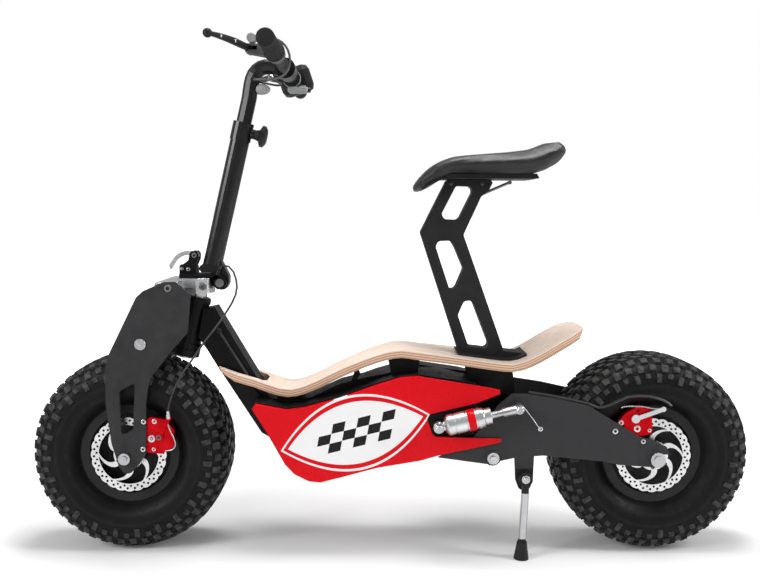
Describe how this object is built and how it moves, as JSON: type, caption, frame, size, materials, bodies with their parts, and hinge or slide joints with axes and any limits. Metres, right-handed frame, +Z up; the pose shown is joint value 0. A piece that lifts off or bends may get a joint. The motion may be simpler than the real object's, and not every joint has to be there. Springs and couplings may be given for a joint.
{
  "type": "electric scooter",
  "caption": "Stand-on scooter with a curved plywood deck, fat knobbly tyres, a sprung swing arm, a folding stem and a bolted-on seat.",
  "frame": {"origin": "on the ground under the point half way between the two axles, in the scooter's middle plane", "axes": "+X to the rear, +Y to the scooter's right, +Z up"},
  "size_m": [1.343, 0.6326, 0.933],
  "materials": {
    "frame": "black powder coat",
    "shell": "black, satin",
    "panel": "deep red gloss",
    "battery": "blue shrink wrap",
    "alloy": "satin silver",
    "deck": "clear-coated plywood",
    "plastic": "black",
    "cushion": "black vinyl over foam",
    "steel": "machined",
    "cable": "smooth black outer casing",
    "fork": "dark grey textured powder coat",
    "caliper": "red anodised",
    "tyre": "matt black",
    "rim": "black powder coat",
    "stem": "black anodised",
    "rubber": "matt black grip",
    "lever": "dark grey",
    "pod": "pale grey",
    "button": "red",
    "stator": "copper windings on a steel core"
  },
  "bodies": {
    "frame": {"main_frame": "frame", "headset_cup_upper": "frame", "headset_cup_lower": "frame", "body_shell": "shell", "side_panel_left": "panel", "side_panel_right": "panel", "battery_pack": "battery", "motor_controller": "alloy", "deck_board": "deck", "seat_post": "frame", "seat_base": "plastic", "seat_cushion": "cushion", "seat_stay": "steel", "swing_pivot_shaft": "steel", "rear_cable_frame": "cable"},
    "steering": {"fork_plate_left": "fork", "fork_plate_right": "fork", "fork_crown_upper": "alloy", "fork_crown_lower": "frame", "steerer_tube": "steel", "hinge_base": "frame", "fold_pin": "steel", "front_axle": "steel", "front_caliper": "caliper"},
    "latch": {"latch_lever": "alloy"},
    "front_caliper_lever": {"front_caliper_arm": "steel"},
    "front_wheel": {"front_tyre": "tyre", "front_rim": "rim", "front_disc": "steel", "front_bearing_left": "steel", "front_bearing_right": "steel"},
    "stem": {"stem_lower_tube": "stem"},
    "knob": {"clamp_knob": "plastic"},
    "riser": {"stem_upper_tube": "stem", "handlebar": "stem", "grip_left": "rubber", "lever_perch_left": "lever", "lever_perch_right": "lever", "throttle_housing": "plastic", "ignition_pod": "pod", "horn_pod": "pod"},
    "lever_left": {"brake_lever_left": "lever"},
    "lever_right": {"brake_lever_right": "lever"},
    "throttle": {"throttle_grip": "rubber"},
    "horn": {"horn_button": "button"},
    "swing": {"swing_arm": "fork", "motor_stator": "stator", "rear_caliper": "caliper", "rear_cable_arm": "cable"},
    "rear_caliper_lever": {"rear_caliper_arm": "steel"},
    "rear_wheel": {"rear_tyre": "tyre", "rear_rim": "rim", "rear_disc": "steel", "motor_cover": "rim"},
    "shock_left": {"shock_body_left": "alloy"},
    "shock_rod_left": {"shock_shaft_left": "steel"},
    "shock_right": {"shock_body_right": "alloy"},
    "shock_rod_right": {"shock_shaft_right": "steel"},
    "stand": {"stand_leg": "alloy"}
  },
  "joints": [
    {"name": "steering_turn", "type": "hinge", "parent": "frame", "child": "steering", "pos_m": [-0.362, 0, 0.495], "axis": [0.2267, 0, 0.974], "range_deg": [-40, 40]},
    {"name": "front_wheel_spin", "type": "hinge", "parent": "steering", "child": "front_wheel", "pos_m": [-0.4875, 0, 0.184], "axis": [0, 1, 0], "continuous": true},
    {"name": "latch_turn", "type": "hinge", "parent": "steering", "child": "latch", "pos_m": [-0.37, 0, 0.552], "axis": [0, 1, 0], "range_deg": [0, 70]},
    {"name": "front_caliper_pull", "type": "hinge", "parent": "steering", "child": "front_caliper_lever", "pos_m": [-0.4255, -0.0798, 0.222], "axis": [0, -1, 0], "range_deg": [0, 16]},
    {"name": "stem_fold", "type": "hinge", "parent": "steering", "child": "stem", "pos_m": [-0.321, 0, 0.501], "axis": [0, 1, 0], "range_deg": [0, 36]},
    {"name": "clamp_knob_turn", "type": "hinge", "parent": "stem", "child": "knob", "pos_m": [-0.2579, 0, 0.77717], "axis": [0.974, 0, -0.2267], "range_deg": [0, 180]},
    {"name": "handlebar_height", "type": "slide", "parent": "stem", "child": "riser", "axis": [0.2267, 0, 0.974], "range_m": [-0.035, 0.12]},
    {"name": "brake_lever_left_pull", "type": "hinge", "parent": "riser", "child": "lever_left", "pos_m": [-0.237, -0.176, 0.903], "axis": [0, 0, 1], "range_deg": [0, 22], "stiffness_Nm_per_rad": 1, "springref_deg": -5.73},
    {"name": "brake_lever_right_pull", "type": "hinge", "parent": "riser", "child": "lever_right", "pos_m": [-0.237, 0.138, 0.903], "axis": [0, 0, -1], "range_deg": [0, 20], "stiffness_Nm_per_rad": 1, "springref_deg": -5.73},
    {"name": "throttle_twist", "type": "hinge", "parent": "riser", "child": "throttle", "pos_m": [-0.197, 0.1943, 0.896], "axis": [0, 1, 0], "range_deg": [0, 70], "stiffness_Nm_per_rad": 0.15, "springref_deg": -11.46},
    {"name": "horn_press", "type": "slide", "parent": "riser", "child": "horn", "axis": [-1, 0, 0], "range_m": [0, 0.0025], "stiffness_N_per_m": 400, "springref_m": -0.0005},
    {"name": "swing_arm_turn", "type": "hinge", "parent": "frame", "child": "swing", "pos_m": [0.186, 0, 0.186], "axis": [0, -1, 0], "range_deg": [0, 12], "stiffness_Nm_per_rad": 900, "springref_deg": -6.88},
    {"name": "rear_wheel_spin", "type": "hinge", "parent": "swing", "child": "rear_wheel", "pos_m": [0.4875, 0, 0.184], "axis": [0, 1, 0], "continuous": true},
    {"name": "rear_caliper_pull", "type": "hinge", "parent": "swing", "child": "rear_caliper_lever", "pos_m": [0.4475, -0.0798, 0.258], "axis": [0, 1, 0], "range_deg": [0, 16]},
    {"name": "stand_fold", "type": "hinge", "parent": "swing", "child": "stand", "pos_m": [0.245, -0.0913, 0.149], "axis": [0, -1, 0], "range_deg": [0, 85]},
    {"name": "shock_left_turn", "type": "hinge", "parent": "frame", "child": "shock_left", "pos_m": [0.085, -0.106, 0.248], "axis": [0, -1, 0], "range_deg": [0, 5.12]},
    {"name": "shock_left_slide", "type": "slide", "parent": "shock_left", "child": "shock_rod_left", "axis": [-0.9732, 0, -0.2298], "range_m": [0, 0.01846]},
    {"name": "shock_right_turn", "type": "hinge", "parent": "frame", "child": "shock_right", "pos_m": [0.085, 0.106, 0.248], "axis": [0, -1, 0], "range_deg": [0, 5.12]},
    {"name": "shock_right_slide", "type": "slide", "parent": "shock_right", "child": "shock_rod_right", "axis": [-0.9732, 0, -0.2298], "range_m": [0, 0.01846]}
  ],
  "couplings": [
    {"joint": "front_caliper_pull", "follows": "brake_lever_right_pull", "ratio": 0.75},
    {"joint": "rear_caliper_pull", "follows": "brake_lever_left_pull", "ratio": 0.7},
    {"joint": "shock_left_turn", "follows": "swing_arm_turn", "ratio": 0.4225},
    {"joint": "shock_left_slide", "follows": "swing_arm_turn", "m_per_rad": 0.08719},
    {"joint": "shock_right_turn", "follows": "swing_arm_turn", "ratio": 0.4225},
    {"joint": "shock_right_slide", "follows": "swing_arm_turn", "m_per_rad": 0.08719}
  ]
}
